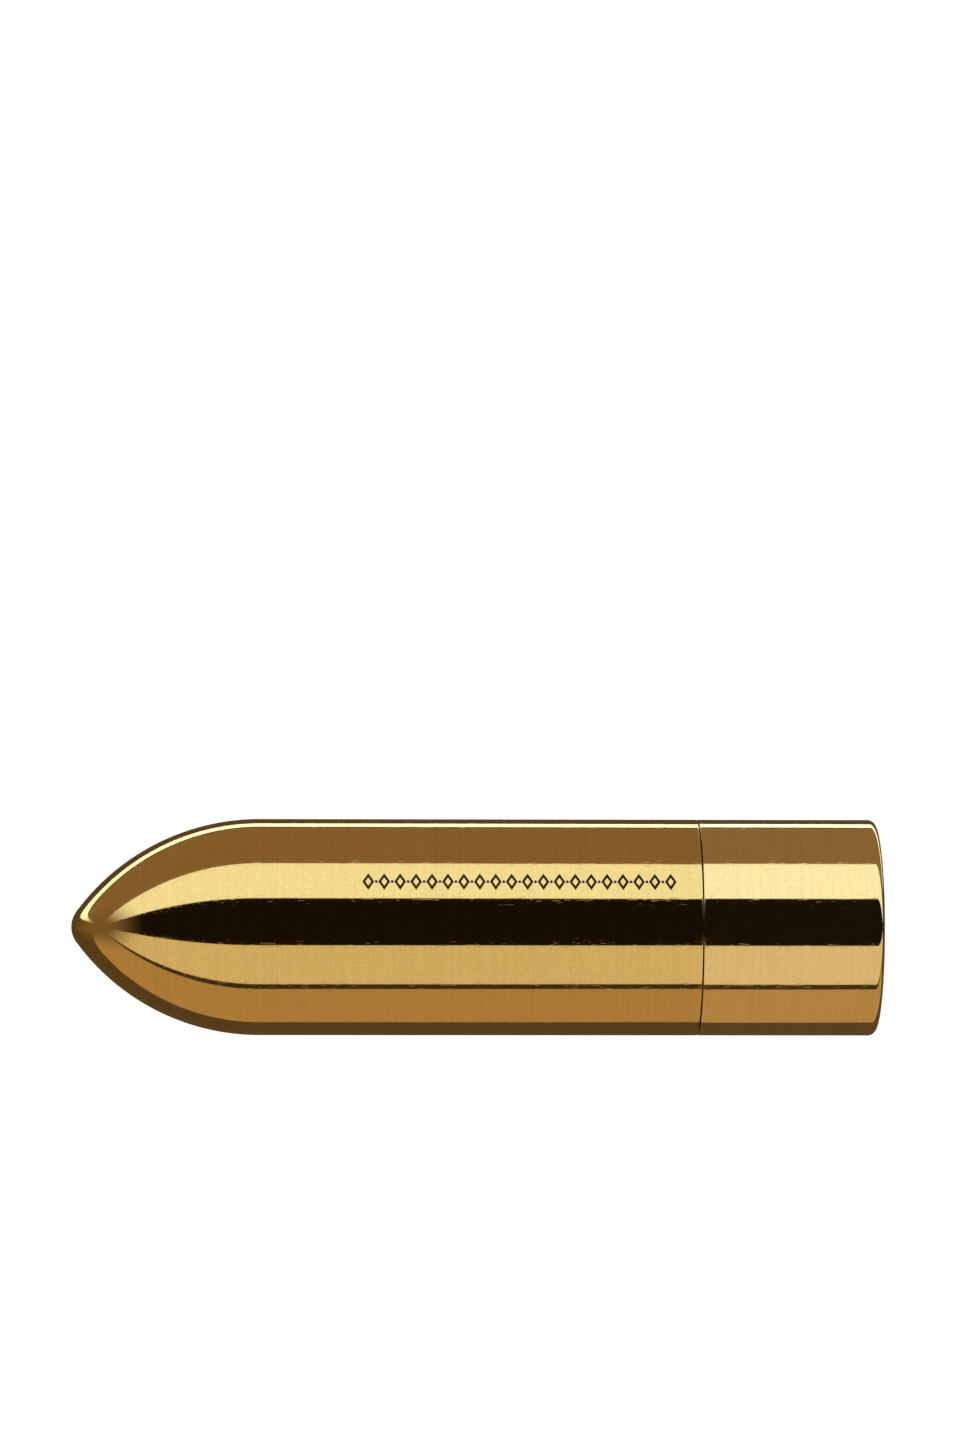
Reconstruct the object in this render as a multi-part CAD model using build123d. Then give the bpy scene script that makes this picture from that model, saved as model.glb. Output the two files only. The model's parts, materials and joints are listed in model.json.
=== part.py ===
from build123d import *

import math
import os

# Bullet-shaped metal lipstick case that stands on its base, with the pomade wound down.
# Millimetres. +Z runs up the case's axis from the middle of the base's underside to the tip.

# Outer case
CASE_RADIUS = 10.0
CASE_LENGTH = 74.5
BASE_HEIGHT = 16.5
SEAM_GAP = 0.12  # daylight between the base's rim and the cap's mouth
SHOULDER_Z = 57.1  # the straight wall turns into the pointed nose here
OGIVE_RADIUS = 21.0  # the nose's side, tangent to the straight wall
FOOT_FILLET = 0.7
RIM_CHAMFER = 0.12
METAL_WALL = 0.75

# Walls and gaps of the nested tubes
SLIDING_GAP = 0.15
TURNING_GAP = 0.1
CUP_WALL = 0.4
TUBE_WALL = 0.55  # slotted tube and cam sleeve
GUIDE_SHELL_WALL = 0.35
COLLAR_WALL = 0.42
LINER_WALL = 0.4

# Radii of the nested tubes, worked outwards from the pomade
POMADE_RADIUS = 5.9
CUP_BORE = POMADE_RADIUS + SLIDING_GAP
CUP_OUTER = CUP_BORE + CUP_WALL
BODY_BORE = CUP_OUTER + SLIDING_GAP
BODY_OUTER = BODY_BORE + TUBE_WALL
CAM_BORE = BODY_OUTER + TURNING_GAP
CAM_OUTER = CAM_BORE + TUBE_WALL
GUIDE_SHELL_OUTER = CAM_OUTER + GUIDE_SHELL_WALL
COLLAR_BORE = GUIDE_SHELL_OUTER + SLIDING_GAP
COLLAR_OUTER = COLLAR_BORE + COLLAR_WALL
SHELL_BORE = CASE_RADIUS - METAL_WALL
LINER_BORE = SHELL_BORE - LINER_WALL

# Base, from the floor up
LABEL_RECESS_RADIUS = 6.8
LABEL_RECESS_DEPTH = 0.2
LABEL_RADIUS = 6.6
LABEL_THICKNESS = 0.1
BASE_FLOOR_TOP = 0.8
WEIGHT_RADIUS = 9.2
WEIGHT_TOP = 3.8
WEIGHT_CHAMFER = 0.3
SOCKET_FLOOR_TOP = 5.0
SOCKET_TOP = 16.2
SOCKET_SLEEVE_GAP = 0.2  # round the guide shell's foot
SPIGOT_WALL = 0.6
SPIGOT_TOP = 7.2
COLLAR_SEAT_Z = 11.0
COLLAR_TOP = 22.0
COLLAR_FILLET = 0.18
CLICK_Z = 19.5  # groove in the collar, beads in the cap's liner
CLICK_GROOVE_DEPTH = 0.12
CLICK_GROOVE_HEIGHT = 1.2
SEAL_HEIGHT = 0.6
SEAL_CLEARANCE = 0.04

# Twist-up mechanism
TRAVEL = 23.0
TURN_DEG = 450.0
LUG_RADIUS = 0.85
LUG_TIP = CAM_OUTER - SLIDING_GAP
LUG_Z = 9.5  # lug centre with the pomade wound down
CUP_BOTTOM = 8.0
CUP_HEIGHT = 12.0
CUP_FLOOR = 1.0
CUP_VENT_RADIUS = 1.0
CUP_RIBS = 6
CUP_RIB_WIDTH = 0.7
CUP_RIB_TIP = POMADE_RADIUS + 0.02
CUP_RIB_DROP = 1.0  # the ribs stop this far below the cup's rim
HUB_OUTER = 7.65
HUB_TOP = 7.4
RING_Z = 6.2
RING_SECTION = 0.34
RING_CLEARANCE = 0.03  # to the guide shell's bore
RING_CENTRE_RADIUS = CAM_OUTER - RING_CLEARANCE - RING_SECTION
RING_GROOVE_FLOOR = RING_CENTRE_RADIUS - RING_SECTION - 0.01
RING_GROOVE_HALF = 0.4
CAM_BOTTOM = 7.5
CAM_TOP = 43.0
LIP_OUTER = 7.45
LIP_BOTTOM = 43.1
LIP_TOP = 43.5
SLOT_HALF_WIDTH = LUG_RADIUS + SLIDING_GAP
SLOT_END_ROOM = 0.1
GUIDE_SHELL_BOTTOM = 5.2
GUIDE_SHELL_TOP = 44.0
CURL_BORE = LIP_OUTER + TURNING_GAP
CURL_HEIGHT = 0.35
CURL_FILLET = 0.17

# Pomade, moulded with a slanted face
POMADE_TOP = 43.2
SLANT_DEG = 55.0
SLANT_FROM_AXIS = 1.0  # the slant starts this far behind the axis
SLANT_DROP = 0.1  # and this far below the dome's top

# Cap lining
SHELL_BORE_TOP = 68.6  # above this the nose is solid metal
LINER_MOUTH_Z = 16.9
LINER_TOP = 68.4
LINER_CEILING = 67.6
GUIDE_RIBS = 6
GUIDE_RIB_WIDTH = 1.0
GUIDE_RIB_BOTTOM = 24.0
GUIDE_RIB_TOP = 42.0
GUIDE_RIB_TIP = GUIDE_SHELL_OUTER + 0.2
CLICK_BEADS = 4
CLICK_BEAD_ARC_DEG = 24.0
CLICK_BEAD_TIP = COLLAR_OUTER + 0.04
CLICK_BEAD_HALF_HEIGHT = 0.45

BITE = 0.15  # how far a rib or lug is rooted into the wall that carries it
CUTTER_OVERRUN = 1.0  # how far a cutter runs past the face that it opens
CAM_CUT_OVERRUN = 0.3

ARC_CENTRE_X = CASE_RADIUS - OGIVE_RADIUS
NOSE_HEIGHT = CASE_LENGTH - SHOULDER_Z
NOSE_RADIUS = (OGIVE_RADIUS**2 - ARC_CENTRE_X**2 - NOSE_HEIGHT**2) / (2 * (OGIVE_RADIUS - NOSE_HEIGHT))


def turned(*edges):
    """The solid swept about Z by a closed outline drawn with radius as x and height as y."""
    return revolve(Plane.XZ * make_face(Curve() + list(edges)), Axis.Z)


def outline(*points):
    """A closed straight-sided outline, turned about Z."""
    return turned(Polyline(*points, close=True))


def tube(bore, outer, bottom, top):
    return outline((bore, bottom), (outer, bottom), (outer, top), (bore, top))


def disc(radius, bottom, top):
    return outline((0, bottom), (radius, bottom), (radius, top), (0, top))


def around(count, piece):
    """Copies of one piece, evenly spaced about Z."""
    return [Rot(0, 0, 360 * i / count) * piece for i in range(count)]


def radial_bar(inner, outer, width, bottom, top):
    """A bar that points along +X, from one radius to another."""
    length = outer - inner
    middle = ((inner + outer) / 2, 0, (bottom + top) / 2)
    return Pos(*middle) * Box(length, width, top - bottom)


def radial_pin(radius, inner, outer, height):
    """A round pin that points along +X at one height."""
    return Pos((inner + outer) / 2, 0, height) * Rot(0, 90, 0) * Cylinder(radius, outer - inner)


def edges_at(part, radius, height):
    """The circular edges of one radius at one height."""
    circles = part.edges().filter_by(GeomType.CIRCLE)
    return [e for e in circles if abs(e.radius - radius) < 1e-6 and abs(e.center().Z - height) < 1e-6]


def nose_arc_angle(radius, height):
    """Angle up the ogive arc of this radius at which it reaches a height."""
    return math.degrees(math.asin((height - SHOULDER_Z) / radius))


def pointed_plug(radius, bottom, top):
    """A straight plug whose upper part narrows along the nose's inside curve and ends flat."""
    arc_radius = radius - ARC_CENTRE_X
    side = CenterArc((ARC_CENTRE_X, SHOULDER_Z), arc_radius, 0, nose_arc_angle(arc_radius, top))
    return turned(
        Polyline((radius, SHOULDER_Z), (radius, bottom), (0, bottom), (0, top), side @ 1),
        side,
    )


def cap_shell():
    """Turned cap: straight wall, pointed nose with a small round tip, bored from the mouth."""
    mouth = BASE_HEIGHT + SEAM_GAP
    tip_centre_z = CASE_LENGTH - NOSE_RADIUS
    side_angle = math.degrees(math.atan2(tip_centre_z - SHOULDER_Z, -ARC_CENTRE_X))
    side = CenterArc((ARC_CENTRE_X, SHOULDER_Z), OGIVE_RADIUS, 0, side_angle)
    tip = CenterArc((0, tip_centre_z), NOSE_RADIUS, side_angle, 90 - side_angle)
    walls = Polyline(
        (0, CASE_LENGTH),
        (0, mouth),
        (CASE_RADIUS - RIM_CHAMFER, mouth),
        (CASE_RADIUS, mouth + RIM_CHAMFER),
        (CASE_RADIUS, SHOULDER_Z),
    )
    return turned(side, tip, walls) - pointed_plug(SHELL_BORE, mouth - CUTTER_OVERRUN, SHELL_BORE_TOP)


def cap_liner():
    """Moulded lining, open at the mouth, with centring ribs and the beads that click on the collar."""
    body = pointed_plug(SHELL_BORE, LINER_MOUTH_Z, LINER_TOP)
    body -= pointed_plug(LINER_BORE, LINER_MOUTH_Z - CUTTER_OVERRUN, LINER_CEILING)
    rib = radial_bar(GUIDE_RIB_TIP, LINER_BORE + BITE, GUIDE_RIB_WIDTH, GUIDE_RIB_BOTTOM, GUIDE_RIB_TOP)
    bead_face = make_face(
        Curve()
        + [
            ThreePointArc(
                (LINER_BORE, CLICK_Z - CLICK_BEAD_HALF_HEIGHT),
                (CLICK_BEAD_TIP, CLICK_Z),
                (LINER_BORE, CLICK_Z + CLICK_BEAD_HALF_HEIGHT),
            ),
            Polyline(
                (LINER_BORE, CLICK_Z + CLICK_BEAD_HALF_HEIGHT),
                (LINER_BORE + BITE, CLICK_Z + CLICK_BEAD_HALF_HEIGHT),
                (LINER_BORE + BITE, CLICK_Z - CLICK_BEAD_HALF_HEIGHT),
                (LINER_BORE, CLICK_Z - CLICK_BEAD_HALF_HEIGHT),
            ),
        ]
    )
    bead = revolve(Plane.XZ * bead_face, Axis.Z, CLICK_BEAD_ARC_DEG)
    for piece in around(GUIDE_RIBS, rib) + around(CLICK_BEADS, bead):
        body += piece
    return body


def base_shell():
    """Drawn cup: rounded foot, shallow recess for the label, open at the top."""
    body = disc(CASE_RADIUS, 0, BASE_HEIGHT)
    body -= disc(SHELL_BORE, BASE_FLOOR_TOP, BASE_HEIGHT + CUTTER_OVERRUN)
    body -= disc(LABEL_RECESS_RADIUS, -CUTTER_OVERRUN, LABEL_RECESS_DEPTH)
    body = fillet(edges_at(body, CASE_RADIUS, 0), FOOT_FILLET)
    return chamfer(edges_at(body, CASE_RADIUS, BASE_HEIGHT), RIM_CHAMFER)


def shade_label():
    return disc(LABEL_RADIUS, LABEL_RECESS_DEPTH - LABEL_THICKNESS, LABEL_RECESS_DEPTH)


def base_weight():
    """Steel slug that makes the base heavy."""
    slug = disc(WEIGHT_RADIUS, BASE_FLOOR_TOP, WEIGHT_TOP)
    rims = edges_at(slug, WEIGHT_RADIUS, BASE_FLOOR_TOP) + edges_at(slug, WEIGHT_RADIUS, WEIGHT_TOP)
    return chamfer(rims, WEIGHT_CHAMFER)


def base_socket():
    """Moulded socket pressed into the base: carries the collar and, on a spigot, the slotted tube."""
    sleeve = GUIDE_SHELL_OUTER + SOCKET_SLEEVE_GAP
    body = outline(
        (0, WEIGHT_TOP),
        (SHELL_BORE, WEIGHT_TOP),
        (SHELL_BORE, SOCKET_TOP),
        (COLLAR_OUTER, SOCKET_TOP),
        (COLLAR_OUTER, COLLAR_SEAT_Z),
        (sleeve, COLLAR_SEAT_Z),
        (sleeve, SOCKET_FLOOR_TOP),
        (0, SOCKET_FLOOR_TOP),
    )
    return body + tube(BODY_BORE - SPIGOT_WALL, BODY_BORE, SOCKET_FLOOR_TOP, SPIGOT_TOP)


def collar():
    """Metal sleeve that the cap fits over, with the groove for the cap's beads."""
    body = tube(COLLAR_BORE, COLLAR_OUTER, COLLAR_SEAT_Z, COLLAR_TOP)
    half = CLICK_GROOVE_HEIGHT / 2
    body -= outline(
        (COLLAR_OUTER + CUTTER_OVERRUN, CLICK_Z - half),
        (COLLAR_OUTER + CUTTER_OVERRUN, CLICK_Z + half),
        (COLLAR_OUTER, CLICK_Z + half),
        (COLLAR_OUTER - CLICK_GROOVE_DEPTH, CLICK_Z + half - CLICK_GROOVE_DEPTH),
        (COLLAR_OUTER - CLICK_GROOVE_DEPTH, CLICK_Z - half + CLICK_GROOVE_DEPTH),
        (COLLAR_OUTER, CLICK_Z - half),
    )
    return fillet(edges_at(body, COLLAR_OUTER, COLLAR_TOP), COLLAR_FILLET)


def seal_ring():
    """Soft washer on top of the socket that the cap's lining closes on."""
    bore = COLLAR_OUTER + SEAL_CLEARANCE
    outer = SHELL_BORE - SEAL_CLEARANCE
    return tube(bore, outer, SOCKET_TOP, SOCKET_TOP + SEAL_HEIGHT)


def slotted_tube():
    """Tube fixed in the base, with two upright slots that stop the cup from turning."""
    body = outline(
        (BODY_BORE, SOCKET_FLOOR_TOP),
        (HUB_OUTER, SOCKET_FLOOR_TOP),
        (HUB_OUTER, HUB_TOP),
        (BODY_OUTER, HUB_TOP),
        (BODY_OUTER, LIP_BOTTOM),
        (LIP_OUTER, LIP_BOTTOM),
        (LIP_OUTER, (LIP_BOTTOM + LIP_TOP) / 2),
        (BODY_OUTER, LIP_TOP),
        (BODY_BORE, LIP_TOP),
    )
    body -= tube(
        RING_GROOVE_FLOOR, HUB_OUTER + CUTTER_OVERRUN, RING_Z - RING_GROOVE_HALF, RING_Z + RING_GROOVE_HALF
    )
    inner, outer = BODY_BORE - CUTTER_OVERRUN, BODY_OUTER + CUTTER_OVERRUN
    low, high = LUG_Z - SLOT_END_ROOM, LUG_Z + TRAVEL + SLOT_END_ROOM
    slot = radial_bar(inner, outer, 2 * SLOT_HALF_WIDTH, low, high)
    for end in (low, high):
        slot += radial_pin(SLOT_HALF_WIDTH, inner, outer, end)
    for cut in around(2, slot):
        body -= cut
    return body


def brake_ring():
    """Rubber ring on the slotted tube's hub that gives the twist its drag."""
    return Pos(0, 0, RING_Z) * Torus(RING_CENTRE_RADIUS, RING_SECTION)


def cam_sleeve():
    """Sleeve that turns with the guide shell: its two left-hand helical slots lift the cup's lugs."""
    body = tube(CAM_BORE, CAM_OUTER, CAM_BOTTOM, CAM_TOP)
    radius = (CAM_BORE + CAM_OUTER) / 2
    pitch = TRAVEL * 360 / TURN_DEG
    lead_angle = math.atan2(pitch, 2 * math.pi * radius)
    path = Pos(0, 0, LUG_Z) * Helix(pitch, TRAVEL, radius, lefthand=True)
    depth = TUBE_WALL + 2 * CAM_CUT_OVERRUN
    profile = Plane.XZ * Pos(radius, LUG_Z) * Rectangle(depth, 2 * SLOT_HALF_WIDTH / math.cos(lead_angle))
    slot = sweep(profile, path=path, is_frenet=True)
    end_pin = radial_pin(SLOT_HALF_WIDTH, CAM_BORE - CAM_CUT_OVERRUN, CAM_OUTER + CAM_CUT_OVERRUN, LUG_Z)
    ends = [end_pin, Pos(0, 0, TRAVEL) * Rot(0, 0, -TURN_DEG) * end_pin]
    for cut in [slot, *ends]:
        for copy in around(2, cut):
            body -= copy
    return body


def guide_shell():
    """Thin metal tube round the cam sleeve, with its top rim rolled inwards over the slotted tube."""
    body = tube(CAM_OUTER, GUIDE_SHELL_OUTER, GUIDE_SHELL_BOTTOM, GUIDE_SHELL_TOP)
    body += tube(CURL_BORE, CAM_OUTER + BITE, GUIDE_SHELL_TOP - CURL_HEIGHT, GUIDE_SHELL_TOP)
    body = fillet(edges_at(body, GUIDE_SHELL_OUTER, GUIDE_SHELL_TOP), CURL_FILLET)
    return fillet(edges_at(body, CURL_BORE, GUIDE_SHELL_TOP), CURL_FILLET)


def cup():
    """Carrier that holds the pomade, with inside ribs and two lugs that reach into the cam's slots."""
    body = tube(CUP_BORE, CUP_OUTER, CUP_BOTTOM, CUP_BOTTOM + CUP_HEIGHT)
    body += tube(CUP_VENT_RADIUS, CUP_BORE + BITE, CUP_BOTTOM, CUP_BOTTOM + CUP_FLOOR)
    rib_top = CUP_BOTTOM + CUP_HEIGHT - CUP_RIB_DROP
    rib = radial_bar(CUP_RIB_TIP, CUP_BORE + BITE, CUP_RIB_WIDTH, CUP_BOTTOM + CUP_FLOOR, rib_top)
    lug = radial_pin(LUG_RADIUS, CUP_BORE + BITE, LUG_TIP, LUG_Z)
    for piece in around(CUP_RIBS, rib) + around(2, lug):
        body += piece
    return body


def pomade():
    """Stick with a domed top, cut by one slanted face that looks along -Y."""
    bottom = CUP_BOTTOM + CUP_FLOOR
    dome_z = POMADE_TOP - POMADE_RADIUS
    dome = CenterArc((0, dome_z), POMADE_RADIUS, 0, 90)
    sides = Polyline((0, POMADE_TOP), (0, bottom), (POMADE_RADIUS, bottom), (POMADE_RADIUS, dome_z))
    stick = turned(dome, sides)
    above = 2 * POMADE_TOP
    cutter = Pos(0, 0, above / 2) * Box(above, above, above)
    hinge = Pos(0, SLANT_FROM_AXIS, POMADE_TOP - SLANT_DROP)
    return stick - hinge * Rot(SLANT_DEG, 0, 0) * cutter


PARTS = [
    cap_shell,
    cap_liner,
    base_shell,
    shade_label,
    base_weight,
    base_socket,
    collar,
    seal_ring,
    slotted_tube,
    brake_ring,
    cam_sleeve,
    guide_shell,
    cup,
    pomade,
]

os.makedirs("parts", exist_ok=True)
for make in PARTS:
    export_step(make(), f"parts/{make.__name__}.step")
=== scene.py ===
"""Looks of the lipstick case: a polished gold bullet with a pull-off cap and a twist-up pomade."""

import json
import math

import bmesh
import bpy
from mathutils import Euler, Matrix, Vector


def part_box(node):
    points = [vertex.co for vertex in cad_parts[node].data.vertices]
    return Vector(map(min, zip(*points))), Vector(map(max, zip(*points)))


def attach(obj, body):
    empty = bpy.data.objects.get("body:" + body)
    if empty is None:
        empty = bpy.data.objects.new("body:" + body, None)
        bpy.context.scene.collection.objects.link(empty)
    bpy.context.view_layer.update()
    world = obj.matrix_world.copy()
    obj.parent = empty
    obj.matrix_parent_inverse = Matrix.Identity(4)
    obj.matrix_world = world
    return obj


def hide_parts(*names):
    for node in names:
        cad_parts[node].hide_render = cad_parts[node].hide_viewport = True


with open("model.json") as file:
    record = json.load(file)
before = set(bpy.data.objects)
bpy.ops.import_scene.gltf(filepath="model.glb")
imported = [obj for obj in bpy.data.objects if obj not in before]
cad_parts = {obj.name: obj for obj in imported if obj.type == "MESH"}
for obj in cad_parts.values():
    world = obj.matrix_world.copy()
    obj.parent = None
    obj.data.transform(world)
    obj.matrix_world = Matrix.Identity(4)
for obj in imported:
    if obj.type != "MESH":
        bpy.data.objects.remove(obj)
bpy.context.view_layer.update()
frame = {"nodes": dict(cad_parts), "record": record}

MM = 0.001

# Turned outlines, in millimetres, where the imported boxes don't say
OGIVE_RADIUS = 21.0  # side of the cap's nose
RIM_RADIUS = 0.04  # both edges of the seam
FOOT_RADIUS = 0.7
SHELL_BORE_TOP = 68.6
LABEL_RECESS_RADIUS = 6.8
LABEL_RECESS_DEPTH = 0.2
LABEL_RING_RADIUS = 5.7
LABEL_PATCH_RADIUS = 2.6
# Height of the foot edge where the plating turns lighter: partly rubbed plating, partly a painted edge glint
FOOT_RUBBED_GLINT_Z = 0.25
BASE_FLOOR = 0.8
COLLAR_WALL = 0.42
COLLAR_GROOVE_Z = 19.5
COLLAR_GROOVE_DEPTH = 0.12
COLLAR_GROOVE_HEIGHT = 1.2
GUIDE_WALL = 0.35
CURL_RADIUS = 0.17
CURL_HEIGHT = 0.35
CURL_REACH = 0.6  # how far the guide shell's rim is rolled inwards
SOFT_EDGE = 0.06  # the small radius on edges that look sharp
TIP_POLISHED_OFF = 0.001
DOME_TOP = 43.2  # the pomade's, before its slanted face is cut
SLANT_DEG = 55.0
SLANT_FROM_AXIS = 1.0  # the slant starts this far behind the axis
SLANT_DROP = 0.1  # and this far below the dome's top
SLANT_FOOT = 33.0  # below the slant's lowest point
SLANT_EDGE = 0.3  # how widely the slant's edge is rounded over

# Engraved row on the cap, in millimetres and degrees
ROW_FROM = 18.8
ROW_TO = 47.8
ROW_AZIMUTH = 26.7  # from the front, -Y, towards +X
ROW_COUNT = 20
ROW_HEIGHT = 1.67
ROW_MARK_WIDTH = 1.08
ROW_STROKE = 0.23
ROW_DOT_RADIUS = 0.14
ROW_DEPTH = 0.06

TURNS_FINE = 240  # facets round the outer case
TURNS_INNER = 160
SHARP_EDGE_DEG = 30.0
QUARTER = math.pi / 2

# Straight steps in each round stretch of an outline
RIM_STEPS = 6
OGIVE_STEPS = 72
TIP_STEPS = 20
BORE_STEPS = 24
FOOT_STEPS = 24
RECESS_STEPS = 5
GROOVE_STEPS = 14
LIP_STEPS = 8
DOME_STEPS = 60
SLANT_RINGS = 40  # rings on the pomade's side, where the slant is pared off
DOT_SIDES = 12
CUTTER_DEPTHS = 4  # how tall the row's cutters are, in depths of the engraving
LIP_OF_WALL = 0.4  # the collar's top radius, as a share of its wall


# --- Wiring node trees with plain arithmetic ------------------------------------------------------


class Wire:
    """An output socket that takes part in arithmetic: each operator adds a Math node."""

    def __init__(self, net, socket):
        self.net = net
        self.socket = socket

    def __add__(self, other):
        return self.net.math("ADD", self, other)

    def __sub__(self, other):
        return self.net.math("SUBTRACT", self, other)

    def __rsub__(self, other):
        return self.net.math("SUBTRACT", other, self)

    def __mul__(self, other):
        return self.net.math("MULTIPLY", self, other)

    def __truediv__(self, other):
        return self.net.math("DIVIDE", self, other)

    def __rtruediv__(self, other):
        return self.net.math("DIVIDE", other, self)

    def __pow__(self, other):
        return self.net.math("POWER", self, other)

    def __neg__(self):
        return self.net.math("SUBTRACT", 0.0, self)

    def __abs__(self):
        return self.net.math("ABSOLUTE", self)

    def __gt__(self, other):
        return self.net.math("GREATER_THAN", self, other)

    def __lt__(self, other):
        return self.net.math("LESS_THAN", self, other)

    __radd__ = __add__
    __rmul__ = __mul__


class Net:
    """A node tree that is being wired."""

    def __init__(self, tree):
        self.tree = tree

    def plug(self, socket, value):
        """Links a wire, or several into a socket that joins them, or sets a plain value."""
        for item in value if isinstance(value, list) else [value]:
            if isinstance(item, Wire):
                self.tree.links.new(item.socket, socket)
            else:
                socket.default_value = item

    def node(self, kind, settings=None, sockets=None, out=0):
        """Adds a node: its settings first, then its sockets; gives the output, or a list of them."""
        made = self.tree.nodes.new(kind)
        for name, value in (settings or {}).items():
            setattr(made, name, value)
        for name, value in (sockets or {}).items():
            self.plug(made.inputs[name], value)
        if not made.outputs:
            return made
        if isinstance(out, tuple):
            return [Wire(self, made.outputs[name]) for name in out]
        return Wire(self, made.outputs[out])

    def math(self, operation, *values):
        return self.node("ShaderNodeMath", {"operation": operation}, dict(enumerate(values)))

    def smooth(self, value, low, high):
        """0 at low and 1 at high, easing in between; low may be the larger of the two."""
        sockets = {"Value": value, "From Min": low, "From Max": high}
        return self.node("ShaderNodeMapRange", {"interpolation_type": "SMOOTHSTEP"}, sockets, "Result")

    def vector(self, x, y, z=0.0):
        if not any(isinstance(value, Wire) for value in (x, y, z)):
            return (x, y, z)
        return self.node("ShaderNodeCombineXYZ", sockets={"X": x, "Y": y, "Z": z})

    def split(self, vector):
        return self.node("ShaderNodeSeparateXYZ", sockets={0: vector}, out=("X", "Y", "Z"))

    def mix(self, factor, first, second):
        """Mixes two colours."""
        settings = {"data_type": "RGBA", "blend_type": "MIX", "clamp_factor": True}
        return self.node("ShaderNodeMix", settings, {0: factor, 6: first, 7: second}, 2)

    def scale(self, vector, factor):
        """A colour or a vector times a number."""
        return self.node("ShaderNodeVectorMath", {"operation": "SCALE"}, {"Vector": vector, "Scale": factor})


# --- Geometry recipes -----------------------------------------------------------------------------


class Recipe(Net):
    """A geometry tree whose named inputs are its sizes, given as keyword arguments."""

    SOCKETS = {float: "NodeSocketFloat", int: "NodeSocketInt", bpy.types.Material: "NodeSocketMaterial"}

    def __init__(self, name, **sizes):
        super().__init__(bpy.data.node_groups.new(name, "GeometryNodeTree"))
        self.tree.interface.new_socket("Geometry", in_out="OUTPUT", socket_type="NodeSocketGeometry")
        self.sizes = {}
        for label, value in sizes.items():
            kind = self.SOCKETS[type(value)]
            made = self.tree.interface.new_socket(label, in_out="INPUT", socket_type=kind)
            self.sizes[label] = (made.identifier, value)
        self.inlet = self.tree.nodes.new("NodeGroupInput")

    def __getitem__(self, label):
        return Wire(self, self.inlet.outputs[label])

    def finely(self, stretch, points):
        """The same stretch of an outline in more, even steps."""
        return [self.node("GeometryNodeResampleCurve", sockets={"Curve": stretch[0], "Count": points})]

    def line(self, *corners):
        """Straight stretches of an outline from corner to corner, each corner a radius and a height."""
        kind = "GeometryNodeCurvePrimitiveLine"
        ends = [self.vector(*corner) for corner in corners]
        return [self.node(kind, sockets={"Start": a, "End": b}) for a, b in zip(ends, ends[1:])]

    def arc(self, centre, radius, start, sweep, steps):
        """A round stretch of an outline, with its angles in radians."""
        sizes = {"Resolution": steps, "Radius": radius, "Start Angle": start, "Sweep Angle": sweep}
        bend = self.node("GeometryNodeCurveArc", {"mode": "RADIUS"}, sizes)
        moved = {"Geometry": bend, "Translation": self.vector(*centre)}
        return [self.node("GeometryNodeTransform", sockets=moved)]

    def join(self, parts):
        return self.node("GeometryNodeJoinGeometry", sockets={"Geometry": parts})

    def weld(self, shape):
        return self.node("GeometryNodeMergeByDistance", sockets={"Geometry": shape, "Distance": 1e-7})

    def place(self, shape, position):
        return self.node("GeometryNodeSetPosition", sockets={"Geometry": shape, "Position": position})

    def where(self):
        return self.split(self.node("GeometryNodeInputPosition"))

    def turned(self, outline, facets):
        """Turns an outline, drawn with its solid side on the left, about Z into a closed shell."""
        full_turn = self.line((0.0, 0.0, 0.0), (0.0, 0.0, math.tau))[0]
        steps = self.node("GeometryNodeResampleCurve", sockets={"Curve": full_turn, "Count": facets + 1})
        unrolled = {"Curve": steps, "Profile Curve": self.join(outline)}
        sheet = self.node("GeometryNodeCurveToMesh", sockets=unrolled)
        radius, height, angle = self.where()
        x = radius * self.math("SINE", angle)
        y = radius * self.math("COSINE", angle)
        return self.weld(self.place(sheet, self.vector(-x, -y, height)))

    def finish(self, shape, material):
        """Smooth faces, sharp edges where the shape has them, and the material."""
        kind = "GeometryNodeSetShadeSmooth"
        smooth = self.node(kind, {"domain": "FACE"}, {"Geometry": shape, "Shade Smooth": True})
        sharp = self.node("GeometryNodeInputMeshEdgeAngle") > math.radians(SHARP_EDGE_DEG)
        edges = {"Geometry": smooth, "Selection": sharp, "Shade Smooth": False}
        shaded = self.node(kind, {"domain": "EDGE"}, edges)
        solid = self.node("GeometryNodeRealizeInstances", sockets={"Geometry": shaded})
        return self.node("GeometryNodeSetMaterial", sockets={"Geometry": solid, "Material": material})

    def mesh(self, name, shape):
        """Ends the tree with this shape and gives it as the mesh of a plain object."""
        self.tree.links.new(shape.socket, self.tree.nodes.new("NodeGroupOutput").inputs[0])
        piece = bpy.data.objects.new(name, bpy.data.meshes.new(name))
        bpy.context.scene.collection.objects.link(piece)
        modifier = piece.modifiers.new(name, "NODES")
        modifier.node_group = self.tree
        for identifier, value in self.sizes.values():
            modifier[identifier] = value
        graph = bpy.context.evaluated_depsgraph_get()
        made = bpy.data.meshes.new_from_object(piece.evaluated_get(graph))
        piece.modifiers.remove(modifier)
        piece.data = made
        made.name = name
        return piece


def hand_over(piece, body, slot, *nodes):
    """The finished piece rides on its body in place of the CAD nodes."""
    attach(piece, body)
    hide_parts(*nodes)


# --- Finishes -------------------------------------------------------------------------------------


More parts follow.
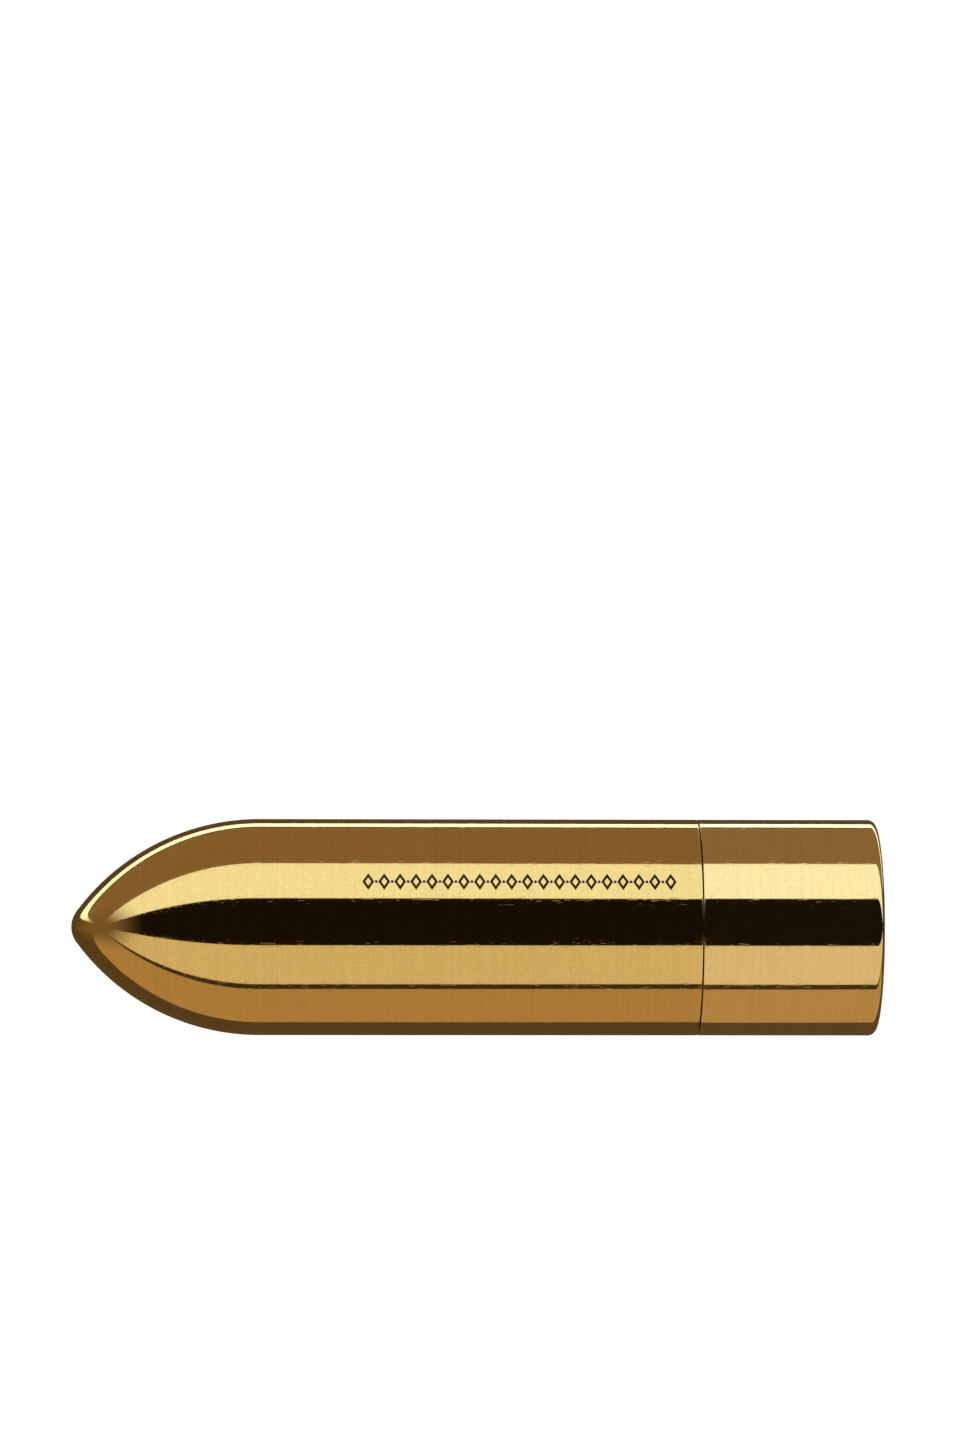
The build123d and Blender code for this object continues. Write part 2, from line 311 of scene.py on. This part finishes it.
class Finish(Net):
    """A material on the object's own coordinates, read in millimetres."""

    def __init__(self, name):
        self.material = bpy.data.materials.new(name)
        self.material.use_nodes = True
        super().__init__(self.material.node_tree)
        self.tree.nodes.clear()
        metres = self.node("ShaderNodeTexCoord", out="Object")
        self.spot = self.scale(metres, 1.0 / MM)
        self.x, self.y, self.z = self.split(self.spot)
        self.radius = (self.x * self.x + self.y * self.y) ** 0.5
        self.along = self.z + self.radius  # grows along any turned outline

    def noise(self, spot, detail=2.0, roughness=0.5, distortion=0.0):
        sockets = {
            "Vector": spot,
            "Scale": 1.0,
            "Detail": detail,
            "Roughness": roughness,
            "Distortion": distortion,
        }
        return self.node("ShaderNodeTexNoise", sockets=sockets)

    def cloud(self, per_mm, detail=2.0):
        """Soft blotches, this many to the millimetre."""
        return self.noise(self.scale(self.spot, per_mm), detail)

    def rings(self, per_mm, detail=2.0):
        """Fine lines that run round the axis, as a turning tool leaves them."""
        return self.noise(self.vector(self.x * 0.06, self.y * 0.06, self.along * per_mm), detail)

    def streaks(self, across_per_mm, along_per_mm, slant=0.0):
        """Thin lengthwise streaks, leaning by this slant."""
        x = self.x + self.z * slant
        spot = self.vector(x * across_per_mm, self.y * across_per_mm, self.z * along_per_mm)
        return self.noise(spot, 1.0)

    def specks(self, per_mm, size_mm, share):
        """Small round specks in a share of the cells of a scattered pattern."""
        settings = {"voronoi_dimensions": "3D", "feature": "F1"}
        sockets = {"Vector": self.spot, "Scale": per_mm}
        distance, colour = self.node("ShaderNodeTexVoronoi", settings, sockets, ("Distance", "Color"))
        chosen = self.split(colour)[0] < share
        return self.smooth(distance, size_mm * per_mm, 0.0) * chosen

    def bump(self, height, depth_mm):
        """A normal from a height of 0 to 1 that stands for this depth."""
        sockets = {"Strength": 1.0, "Distance": depth_mm * MM, "Height": height}
        return self.node("ShaderNodeBump", sockets=sockets)

    def close(self, colour, roughness, normal=None, **uniform):
        """Ends the material with its shader; uniform values go straight on the shader's own sockets."""
        sockets = {"Base Color": colour, "Roughness": roughness}
        sockets.update({label.replace("_", " "): value for label, value in uniform.items()})
        if normal is not None:
            sockets["Normal"] = normal
        shader = self.node("ShaderNodeBsdfPrincipled", sockets=sockets)
        self.node("ShaderNodeOutputMaterial", sockets={"Surface": shader})
        return self.material


def polished_gold(name, plating, rubbed, rubbed_glint_edges):
    """Mirror-polished plating with faint lathe lines, scratches and specks; lighter near some edge heights,
    partly from rubbing and partly a painted glint.
    """
    net = Finish(name)
    lathe = net.rings(4.2) * 0.55 + net.rings(9.0, 1.0) * 0.45
    grain = net.cloud(5.5, 1.0)
    cloud = net.cloud(0.22)
    hairline = net.smooth(net.streaks(11.0, 0.9), 0.64, 0.76)
    scratch = net.smooth(net.streaks(5.0, 0.3, 0.35), 0.73, 0.85)
    speck = net.specks(1.5, 0.055, 0.16)
    # Lighter, mottled colour near these edge heights: partly rubbed plating, partly a painted edge glint;
    # the rubbed colour is that lighter colour
    edge = net.math("MINIMUM", *[abs(net.z - height) for height in rubbed_glint_edges])
    wear_and_glint = net.smooth(edge, 0.3, 0.04) * net.smooth(net.cloud(2.4, 3.0), 0.36, 0.66)
    tone = net.scale(plating, 0.70 + lathe * 0.24 + grain * 0.30 + cloud * 0.06 - speck * 0.25)
    colour = net.mix(wear_and_glint * 0.5, tone, rubbed)
    roughness = 0.03 + cloud * 0.03 + scratch * 0.1 + hairline * 0.05 + wear_and_glint * 0.1 + speck * 0.2
    relief = lathe * 0.06 + hairline * 0.25 + scratch * 0.25 - speck * 0.8
    return net.close(colour, roughness, net.bump(relief, 0.003), Metallic=1.0)


def satin_gold(name, plating):
    """Inner metal with a fine brushed grain round the axis and faint rubbing marks along it."""
    net = Finish(name)
    grain = net.rings(5.0, 3.0) * 0.6 + net.rings(13.0) * 0.4
    rub = net.smooth(net.streaks(3.0, 0.1), 0.55, 0.75)
    tone = net.scale(plating, 0.80 + grain * 0.30 + net.cloud(0.4) * 0.1)
    roughness = 0.2 + grain * 0.14 - rub * 0.05
    return net.close(tone, roughness, net.bump(grain, 0.0009), Metallic=1.0)


def blackened_engraving(name):
    """The floor and walls of the engraved marks: dark patina with a little bare metal showing."""
    net = Finish(name)
    worn = net.smooth(net.cloud(9.0, 3.0), 0.6, 0.78)
    colour = net.mix(worn, (0.007, 0.004, 0.002, 1.0), (0.06, 0.03, 0.01, 1.0))
    roughness = 0.62 - worn * 0.2
    return net.close(colour, roughness, net.bump(net.cloud(14.0), 0.004), Metallic=0.2)


def moulded_plastic(name, deep, pale, gloss):
    """Moulded plastic: a spark-eroded grain, faint flow marks and dull rubbed patches."""
    net = Finish(name)
    flow = net.noise(net.vector(net.x * 0.5, net.y * 0.5, net.z * 0.12), 3.0, 0.6, 0.8)
    grain = net.cloud(11.0, 3.0)
    rub = net.smooth(net.cloud(0.7, 3.0), 0.5, 0.7)
    colour = net.mix(flow * 0.6 + rub * 0.4, deep, pale)
    roughness = gloss + grain * 0.12 + rub * 0.1
    return net.close(colour, roughness, net.bump(grain * 0.7 + flow * 0.3, 0.004))


def matt_rubber(name):
    net = Finish(name)
    grain = net.cloud(8.0, 4.0)
    dust = net.specks(2.2, 0.06, 0.3)
    colour = net.mix(grain * 0.4 + dust * 0.6, (0.008, 0.008, 0.008, 1.0), (0.05, 0.048, 0.045, 1.0))
    return net.close(colour, 0.72 + grain * 0.2, net.bump(grain, 0.01))


def turned_steel(name):
    """The slug's facing cuts: rings on the flats, with a dull oxide bloom."""
    net = Finish(name)
    cuts = net.rings(4.0, 2.0)
    bloom = net.smooth(net.cloud(0.5, 4.0), 0.4, 0.75)
    colour = net.mix(bloom, net.scale((0.52, 0.52, 0.54), 0.85 + cuts * 0.3), (0.30, 0.27, 0.25, 1.0))
    return net.close(colour, 0.26 + cuts * 0.18 + bloom * 0.25, net.bump(cuts, 0.006), Metallic=1.0)


def label_paper(name):
    """Blank coated paper, printed with a plain ring and a round patch of the pomade's shade."""
    net = Finish(name)
    fibre = net.cloud(3.0, 5.0)
    wobble = net.cloud(4.0) * 0.05
    ring = net.smooth(abs(net.radius + wobble - LABEL_RING_RADIUS), 0.14, 0.1)
    patch = net.smooth(net.radius + wobble, LABEL_PATCH_RADIUS + 0.03, LABEL_PATCH_RADIUS - 0.03)
    paper = net.mix(fibre, (0.80, 0.76, 0.68, 1.0), (0.90, 0.87, 0.80, 1.0))
    inked = net.mix(ring, paper, (0.10, 0.07, 0.05, 1.0))
    colour = net.mix(patch * 0.95, inked, (0.42, 0.012, 0.028, 1.0))
    return net.close(colour, 0.42 + fibre * 0.2 - patch * 0.12, net.bump(fibre, 0.004))


def red_wax(name):
    """Poured wax: a satin skin with faint drawn lines, pinprick bubbles and a slightly duller bloom."""
    net = Finish(name)
    drawn = net.streaks(2.6, 0.05)
    bloom = net.smooth(net.cloud(0.3, 4.0), 0.4, 0.75)
    pinprick = net.specks(0.9, 0.07, 0.12)
    colour = net.mix(bloom * 0.3 + drawn * 0.25, (0.30, 0.004, 0.012, 1.0), (0.40, 0.012, 0.026, 1.0))
    roughness = 0.22 + bloom * 0.12 + drawn * 0.08
    relief = drawn * 0.35 + net.cloud(1.2, 3.0) * 0.65 - pinprick
    uniform = {"Subsurface_Weight": 0.08, "Subsurface_Radius": (1.0, 0.15, 0.1), "Subsurface_Scale": 0.001}
    return net.close(colour, roughness, net.bump(relief, 0.005), **uniform)


# --- Sizes read from the frame --------------------------------------------------------------------

case_low, case_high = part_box("cap_shell")
CASE_RADIUS = case_high.x
MOUTH_Z = case_low.z
TIP_Z = case_high.z
BASE_RIM_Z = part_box("base_shell")[1].z
SHELL_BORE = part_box("cap_liner")[1].x
side = next(mount for mount in frame["record"]["mounts"] if mount["name"] == "case_side")
SHOULDER_Z = side["pos_m"][2] + side["dims"]["length_mm"] * MM / 2


# --- Pieces ---------------------------------------------------------------------------------------


def engraved_row(tree):
    """Cutters for a row of open lozenges with dots between them, laid round the cap's side."""
    width, height, stroke = tree["Mark Width"], tree["Mark Height"], tree["Stroke"]
    half_w, half_h = width / 2, height / 2
    to_edge = half_w * half_h / (half_w * half_w + half_h * half_h) ** 0.5
    inside = 1.0 - stroke / to_edge
    circle = "GeometryNodeCurvePrimitiveCircle"
    square = tree.node(circle, {"mode": "RADIUS"}, {"Resolution": 4, "Radius": 1.0})
    outer = {"Geometry": square, "Scale": tree.vector(half_h, half_w, 1.0)}
    inner = {"Geometry": square, "Scale": tree.vector(half_h * inside, half_w * inside, 1.0)}
    lozenge = tree.join([tree.node("GeometryNodeTransform", sockets=sizes) for sizes in (outer, inner)])
    dot = tree.node(circle, {"mode": "RADIUS"}, {"Resolution": DOT_SIDES, "Radius": tree["Dot Radius"]})
    shares = []
    for mark, first, count in ((lozenge, 0.5, tree["Marks"]), (dot, 1.0, tree["Marks"] - 1.0)):
        spots = {
            "Count": count,
            "Start Location": tree.vector(0.0, tree["Row Start"] + tree["Pitch"] * first, -tree["Depth"]),
            "Offset": tree.vector(0.0, tree["Pitch"], 0.0),
        }
        points = tree.node("GeometryNodeMeshLine", {"mode": "OFFSET", "count_mode": "TOTAL"}, spots)
        flat = tree.node("GeometryNodeFillCurve", {"mode": "NGONS"}, {"Curve": mark})
        placed = {"Points": points, "Instance": flat}
        shares.append(tree.node("GeometryNodeInstanceOnPoints", sockets=placed))
    floor = tree.node("GeometryNodeRealizeInstances", sockets={"Geometry": tree.join(shares)})
    cutter_height = tree["Depth"] * CUTTER_DEPTHS
    reach = {"Mesh": floor, "Offset": (0.0, 0.0, 1.0), "Offset Scale": cutter_height, "Individual": False}
    walls = tree.node("GeometryNodeExtrudeMesh", {"mode": "FACES"}, reach)
    under = tree.node("GeometryNodeFlipFaces", sockets={"Mesh": floor})
    blanks = tree.weld(tree.join([walls, under]))
    across, along, outwards = tree.where()
    angle = tree["Row Azimuth"] + across / tree["Case Radius"]
    radius = tree["Case Radius"] + outwards
    wrapped = tree.vector(radius * tree.math("SINE", angle), -(radius * tree.math("COSINE", angle)), along)
    return tree.place(blanks, wrapped)


def turned_cap(gold, patina):
    """The long pointed cap, turned and bored, with its engraved row."""
    tree = Recipe(
        "pointed_cap",
        **{
            "Case Radius": CASE_RADIUS,
            "Bore Radius": SHELL_BORE,
            "Mouth Height": MOUTH_Z,
            "Shoulder Height": SHOULDER_Z,
            "Tip Height": TIP_Z - TIP_POLISHED_OFF * MM,
            "Bore Top": SHELL_BORE_TOP * MM,
            "Ogive Radius": OGIVE_RADIUS * MM,
            "Rim Radius": RIM_RADIUS * MM,
            "Row Start": ROW_FROM * MM,
            "Row Azimuth": math.radians(ROW_AZIMUTH),
            "Pitch": (ROW_TO - ROW_FROM) / ROW_COUNT * MM,
            "Marks": ROW_COUNT,
            "Mark Width": ROW_MARK_WIDTH * MM,
            "Mark Height": ROW_HEIGHT * MM,
            "Stroke": ROW_STROKE * MM,
            "Dot Radius": ROW_DOT_RADIUS * MM,
            "Depth": ROW_DEPTH * MM,
            "Gold": gold,
            "Patina": patina,
        },
    )
    radius, bore, mouth = tree["Case Radius"], tree["Bore Radius"], tree["Mouth Height"]
    shoulder, tip = tree["Shoulder Height"], tree["Tip Height"]
    rim, ogive = tree["Rim Radius"], tree["Ogive Radius"]
    centre = radius - ogive
    nose = tip - shoulder
    nose_radius = (ogive * ogive - centre * centre - nose * nose) / ((ogive - nose) * 2)
    tip_centre = tip - nose_radius
    side_angle = tree.math("ARCTAN2", tip_centre - shoulder, -centre)
    bore_ogive = bore - centre
    bore_angle = tree.math("ARCSINE", (tree["Bore Top"] - shoulder) / bore_ogive)
    bore_end = centre + bore_ogive * tree.math("COSINE", bore_angle)
    outline = [
        *tree.line((bore, mouth), (radius - rim, mouth)),
        *tree.arc((radius - rim, mouth + rim), rim, -QUARTER, QUARTER, RIM_STEPS),
        *tree.line((radius, mouth + rim), (radius, shoulder)),
        *tree.arc((centre, shoulder), ogive, 0.0, side_angle, OGIVE_STEPS),
        *tree.arc((0.0, tip_centre), nose_radius, side_angle, QUARTER - side_angle, TIP_STEPS),
        *tree.line((0.0, tree["Bore Top"]), (bore_end, tree["Bore Top"])),
        *tree.arc((centre, shoulder), bore_ogive, bore_angle, -bore_angle, BORE_STEPS),
        *tree.line((bore, shoulder), (bore, mouth)),
    ]
    blank = tree.turned(outline, TURNS_FINE)
    cut = {"operation": "DIFFERENCE", "solver": "MANIFOLD"}
    body = tree.node("GeometryNodeMeshBoolean", cut, {"Mesh 1": blank, "Mesh 2": [engraved_row(tree)]})
    plated = tree.finish(body, tree["Gold"])
    x, y, z = tree.where()
    depth = radius - (x * x + y * y) ** 0.5
    in_row = (z > tree["Row Start"]) * (z < tree["Row Start"] + tree["Pitch"] * tree["Marks"])
    groove = (depth > tree["Depth"] * 0.2) * (depth < tree["Depth"] * 2) * in_row
    marked = {"Geometry": plated, "Selection": groove, "Material": tree["Patina"]}
    piece = tree.mesh("cap_turned", tree.node("GeometryNodeSetMaterial", sockets=marked))
    hand_over(piece, "cap", "polished_gold", "cap_shell")


def drawn_base(gold):
    """The short base: rounded foot, label recess below, open above."""
    tree = Recipe(
        "drawn_base",
        **{
            "Case Radius": CASE_RADIUS,
            "Bore Radius": SHELL_BORE,
            "Rim Height": BASE_RIM_Z,
            "Floor": BASE_FLOOR * MM,
            "Foot Radius": FOOT_RADIUS * MM,
            "Rim Radius": RIM_RADIUS * MM,
            "Recess Radius": LABEL_RECESS_RADIUS * MM,
            "Recess Depth": LABEL_RECESS_DEPTH * MM,
            "Soft Edge": SOFT_EDGE * MM,
            "Gold": gold,
        },
    )
    radius, bore, top, floor = tree["Case Radius"], tree["Bore Radius"], tree["Rim Height"], tree["Floor"]
    foot, rim, soft = tree["Foot Radius"], tree["Rim Radius"], tree["Soft Edge"]
    recess, depth = tree["Recess Radius"], tree["Recess Depth"]
    outline = [
        *tree.line((0.0, depth), (recess, depth), (recess, soft)),
        *tree.arc((recess + soft, soft), soft, math.pi, QUARTER, RECESS_STEPS),
        *tree.line((recess + soft, 0.0), (radius - foot, 0.0)),
        *tree.arc((radius - foot, foot), foot, -QUARTER, QUARTER, FOOT_STEPS),
        *tree.line((radius, foot), (radius, top - rim)),
        *tree.arc((radius - rim, top - rim), rim, 0.0, QUARTER, RIM_STEPS),
        *tree.line((radius - rim, top), (bore, top), (bore, floor), (0.0, floor)),
    ]
    piece = tree.mesh("base_drawn", tree.finish(tree.turned(outline, TURNS_FINE), tree["Gold"]))
    hand_over(piece, "base", "polished_gold", "base_shell")


def rolled_collar(gold):
    """The thin sleeve that the cap clicks on, with its rolled groove."""
    low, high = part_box("collar")
    tree = Recipe(
        "rolled_collar",
        **{
            "Outer Radius": high.x,
            "Wall": COLLAR_WALL * MM,
            "Bottom": low.z,
            "Top": high.z,
            "Groove Middle": COLLAR_GROOVE_Z * MM,
            "Groove Half Height": COLLAR_GROOVE_HEIGHT * MM / 2,
            "Groove Depth": COLLAR_GROOVE_DEPTH * MM,
            "Top Radius": COLLAR_WALL * MM * LIP_OF_WALL,
            "Gold": gold,
        },
    )
    outer, bottom, top, edge = tree["Outer Radius"], tree["Bottom"], tree["Top"], tree["Top Radius"]
    bore = outer - tree["Wall"]
    middle, half, depth = tree["Groove Middle"], tree["Groove Half Height"], tree["Groove Depth"]
    groove = (half * half + depth * depth) / (depth * 2)
    spread = tree.math("ARCSINE", half / groove)
    outline = [
        *tree.line((bore, bottom), (outer, bottom), (outer, middle - half)),
        *tree.arc((outer - depth + groove, middle), groove, spread + math.pi, -(spread * 2), GROOVE_STEPS),
        *tree.line((outer, middle + half), (outer, top - edge)),
        *tree.arc((outer - edge, top - edge), edge, 0.0, QUARTER, LIP_STEPS),
        *tree.line((outer - edge, top), (bore + edge, top)),
        *tree.arc((bore + edge, top - edge), edge, QUARTER, QUARTER, LIP_STEPS),
        *tree.line((bore, top - edge), (bore, bottom)),
    ]
    piece = tree.mesh("collar_rolled", tree.finish(tree.turned(outline, TURNS_INNER), tree["Gold"]))
    hand_over(piece, "base", "satin_gold", "collar")


def curled_guide_shell(gold):
    """The tube that is turned by hand: its upper rim is curled inwards over the slotted tube."""
    low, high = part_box("guide_shell")
    tree = Recipe(
        "curled_guide_shell",
        **{
            "Outer Radius": high.x,
            "Wall": GUIDE_WALL * MM,
            "Bottom": low.z,
            "Top": high.z,
            "Curl Radius": CURL_RADIUS * MM,
            "Curl Height": CURL_HEIGHT * MM,
            "Curl Reach": CURL_REACH * MM,
            "Gold": gold,
        },
    )
    outer, bottom, top, curl = tree["Outer Radius"], tree["Bottom"], tree["Top"], tree["Curl Radius"]
    bore = outer - tree["Wall"]
    lip = outer - tree["Curl Reach"]
    under = top - tree["Curl Height"]
    outline = [
        *tree.line((bore, bottom), (outer, bottom), (outer, top - curl)),
        *tree.arc((outer - curl, top - curl), curl, 0.0, QUARTER, LIP_STEPS),
        *tree.line((outer - curl, top), (lip + curl, top)),
        *tree.arc((lip + curl, top - curl), curl, QUARTER, QUARTER, LIP_STEPS),
        *tree.line((lip, top - curl), (lip, under), (bore, under), (bore, bottom)),
    ]
    piece = tree.mesh("guide_shell_curled", tree.finish(tree.turned(outline, TURNS_INNER), tree["Gold"]))
    hand_over(piece, "swivel", "satin_gold", "guide_shell")


def poured_pomade(wax):
    """The domed stick, with one slanted face whose edge is rounded over."""
    low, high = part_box("pomade")
    tree = Recipe(
        "poured_pomade",
        **{
            "Radius": high.x,
            "Bottom": low.z,
            "Dome Top": DOME_TOP * MM,
            "Slant": math.radians(SLANT_DEG),
            "Slant Start": SLANT_FROM_AXIS * MM,
            "Slant Top": (DOME_TOP - SLANT_DROP) * MM,
            "Slant Foot": SLANT_FOOT * MM,
            "Slant Edge": SLANT_EDGE * MM,
            "Wax": wax,
        },
    )
    stick, bottom, top, foot = tree["Radius"], tree["Bottom"], tree["Dome Top"], tree["Slant Foot"]
    shoulder = top - stick
    outline = [
        *tree.line((0.0, bottom), (stick, bottom), (stick, foot)),
        *tree.finely(tree.line((stick, foot), (stick, shoulder)), SLANT_RINGS),
        *tree.arc((0.0, shoulder), stick, 0.0, QUARTER, DOME_STEPS),
    ]
    blank = tree.turned(outline, TURNS_INNER)
    x, y, z = tree.where()
    sine, cosine = tree.math("SINE", tree["Slant"]), tree.math("COSINE", tree["Slant"])
    proud = (z - tree["Slant Top"]) * cosine - (y - tree["Slant Start"]) * sine
    pared = tree.math("SMOOTH_MAX", proud, 0.0, tree["Slant Edge"])
    sliced = tree.place(blank, tree.vector(x, y + pared * sine, z - pared * cosine))
    piece = tree.mesh("pomade_poured", tree.finish(sliced, tree["Wax"]))
    hand_over(piece, "carrier", "red_wax", "pomade")


def give_finishes():
    """Every CAD node that still shows gets its finish; the turned pieces already have theirs."""
    plating = (0.90, 0.70, 0.27)
    # Edge heights where the plating turns lighter: partly rubbed, partly a painted glint
    cap_edges = [MOUTH_Z / MM, MOUTH_Z / MM + RIM_RADIUS]
    base_edges = [BASE_RIM_Z / MM, FOOT_RUBBED_GLINT_Z]
    cap_gold = polished_gold("polished_cap_gold", plating, (0.95, 0.80, 0.46, 1.0), cap_edges)
    # Painted light: the base is the same plating as the cap, given a lighter, paler colour for the brighter
    # surroundings it mirrors.
    base_gold_painted_lighter = polished_gold("polished_base_gold", (0.98, 0.81, 0.385), (0.96, 0.84, 0.54, 1.0), base_edges)
    inner_gold = satin_gold("satin_inner_gold", (0.86, 0.66, 0.30))
    black = moulded_plastic("black_moulding", (0.010, 0.010, 0.011, 1.0), (0.030, 0.029, 0.028, 1.0), 0.3)
    white = moulded_plastic("white_moulding", (0.72, 0.70, 0.64, 1.0), (0.86, 0.85, 0.80, 1.0), 0.32)
    rubber = matt_rubber("black_rubber")
    turned_cap(cap_gold, blackened_engraving("blackened_engraving"))
    drawn_base(base_gold_painted_lighter)
    rolled_collar(inner_gold)
    curled_guide_shell(inner_gold)
    poured_pomade(red_wax("red_wax"))
    kept = {
        "cap_liner": black,
        "base_socket": black,
        "slotted_tube": black,
        "cam_sleeve": white,
        "cup": inner_gold,
        "seal_ring": rubber,
        "brake_ring": rubber,
        "base_weight": turned_steel("turned_steel"),
        "shade_label": label_paper("label_paper"),
    }
    for node, material in kept.items():
        frame["nodes"][node].data.materials.clear()
        frame["nodes"][node].data.materials.append(material)


give_finishes()


# --- Studio ---------------------------------------------------------------------------------------

# The upright cards that the gloss mirrors: where each starts and ends, in degrees from the front towards
# +X, its light and its tint.
WHITE_TINT = (1.0, 1.0, 1.0)
CREAM_TINT = (1.0, 0.8, 0.6)
TAN_TINT = (1.0, 0.6, 0.3)
CARDS = [
    (-120, -67, 0.45, TAN_TINT),
    (-67, -61, 0.05, TAN_TINT),
    (-61, -17, 0.7, CREAM_TINT),
    (-17, 33, 0.01, TAN_TINT),
    (33, 74, 1.0, WHITE_TINT),
    (74, 135, 0.25, TAN_TINT),
    (138, 148, 1.8, WHITE_TINT),
]
CARD_EDGE = 0.5  # degrees over which a card's edge fades, each way
CARDS_FADE_UP = (60.0, 85.0)  # the heights, in degrees, between which the cards give way to the ceiling
ROOM = (0.1, 0.06, 0.03)
CEILING = (0.2, 0.12, 0.06)
UNDERNEATH = (0.05, 0.022, 0.007)
UNDER_FADE = (-80.0, -88.0)  # the depths, in degrees, at which the gloss starts to see underneath
UNDER_FADE_BEHIND = (-58.0, -70.0)
BEHIND_FADE = (-0.15, 0.15)
WHITE = (1.04, 1.04, 1.04)
SOFT_TINT = (1.0, 0.99, 0.97)
SOFT_LIGHT = 0.42  # from below; as much again from above
FLOOR_HALF = 3.0
FLOOR_GLOW = 0.88
FLOOR_TINT = (0.22, 0.22, 0.22)
KEY_PLACE = (-0.3, -0.42, 0.45)
KEY_AIM = (0.0, 0.0, 0.04)
KEY_SIZE = 0.35
KEY_WATTS = 2.6
CAMERA_TARGET = (0.01875, 0.0, 0.03671)
CAMERA_DISTANCE = 0.4847
CAMERA_DOWN_DEG = 1.5
CAMERA_ROLL_DEG = 89.87
LENS_MM = 129.8
SENSOR_MM = 36.0


def studio():
    """Tall upright cards that only the gloss sees, a white surround and soft, neutral room light."""
    world = bpy.data.worlds.new("studio")
    world.use_nodes = True
    world.cycles.sampling_method = "NONE"
    bpy.context.scene.world = world
    net = Net(world.node_tree)
    net.tree.nodes.clear()
    x, y, z = net.split(net.node("ShaderNodeTexCoord", out="Generated"))
    degrees = 180 / math.pi
    azimuth = net.math("ARCTAN2", x, -y) * degrees
    height = net.math("ARCSINE", z) * degrees
    up = net.math("MAXIMUM", height, 0.0)
    walls = (*ROOM, 1.0)
    for left, right, light, tint in CARDS:
        half = (right - left) / 2
        card = net.smooth(abs(azimuth - (left + right) / 2), half + CARD_EDGE, half - CARD_EDGE)
        walls = net.mix(card, walls, (*[light * part for part in tint], 1.0))
    around = net.mix(net.smooth(up, *CARDS_FADE_UP), walls, (*CEILING, 1.0))
    low_behind = net.smooth(height, *UNDER_FADE_BEHIND) * net.smooth(y, *BEHIND_FADE)
    under = net.math("MAXIMUM", net.smooth(height, *UNDER_FADE), low_behind)
    mirrored = net.mix(under, around, (*UNDERNEATH, 1.0))
    soft = net.scale(SOFT_TINT, SOFT_LIGHT + SOFT_LIGHT * net.smooth(z, -1.0, 1.0))
    camera_sees, gloss_sees = net.node("ShaderNodeLightPath", out=("Is Camera Ray", "Is Glossy Ray"))
    seen = net.mix(gloss_sees, net.mix(camera_sees, soft, (*WHITE, 1.0)), mirrored)
    background = net.node("ShaderNodeBackground", sockets={"Color": seen, "Strength": 1.0})
    net.node("ShaderNodeOutputWorld", sockets={"Surface": background})


def pale_floor():
    """A wide white floor that keeps only a trace of the case's shadow, open when seen from below."""
    half = FLOOR_HALF
    corners = ((-half, -half, 0.0), (half, -half, 0.0), (half, half, 0.0), (-half, half, 0.0))
    sheet = bmesh.new()
    sheet.faces.new([sheet.verts.new(corner) for corner in corners])
    mesh = bpy.data.meshes.new("floor")
    sheet.to_mesh(mesh)
    sheet.free()
    floor = bpy.data.objects.new("floor", mesh)
    bpy.context.scene.collection.objects.link(floor)
    material = bpy.data.materials.new("white_floor")
    material.use_nodes = True
    net = Net(material.node_tree)
    net.tree.nodes.clear()
    glow = net.node("ShaderNodeEmission", sockets={"Color": (1.0, 1.0, 1.0, 1.0), "Strength": FLOOR_GLOW})
    matt = net.node("ShaderNodeBsdfDiffuse", sockets={"Color": (*FLOOR_TINT, 1.0)})
    top = net.node("ShaderNodeAddShader", sockets={0: glow, 1: matt})
    below = net.node("ShaderNodeBsdfTransparent")
    facing = net.node("ShaderNodeNewGeometry", out="Backfacing")
    whole = net.node("ShaderNodeMixShader", sockets={0: facing, 1: top, 2: below})
    net.node("ShaderNodeOutputMaterial", sockets={"Surface": whole})
    mesh.materials.append(material)
    floor.visible_glossy = False


def soft_key():
    """One large soft lamp that shapes the wax and the plastics; the metal doesn't mirror it."""
    lamp = bpy.data.lights.new("soft_key", "AREA")
    lamp.shape = "DISK"
    lamp.size = KEY_SIZE
    lamp.energy = KEY_WATTS
    key = bpy.data.objects.new("soft_key", lamp)
    key.location = KEY_PLACE
    aim = Vector(KEY_AIM) - key.location
    key.rotation_euler = aim.to_track_quat("-Z", "Y").to_euler()
    key.visible_glossy = False
    bpy.context.scene.collection.objects.link(key)


def camera():
    """Looks along +Y and a little down, rolled so that the case lies with its tip to the left."""
    lens = bpy.data.cameras.new("camera")
    lens.lens = LENS_MM
    lens.sensor_width = SENSOR_MM
    lens.clip_start = 0.01
    eye = bpy.data.objects.new("camera", lens)
    level = Euler((math.pi / 2, math.radians(CAMERA_ROLL_DEG), 0.0)).to_matrix()
    downwards = Matrix.Rotation(math.radians(-CAMERA_DOWN_DEG), 3, "X")
    eye.rotation_euler = (downwards @ level).to_euler()
    eye.location = Vector(CAMERA_TARGET) - downwards @ Vector((0.0, CAMERA_DISTANCE, 0.0))
    bpy.context.scene.collection.objects.link(eye)
    bpy.context.scene.camera = eye


studio()
pale_floor()
soft_key()
camera()
bpy.context.scene.view_settings.view_transform = "Standard"
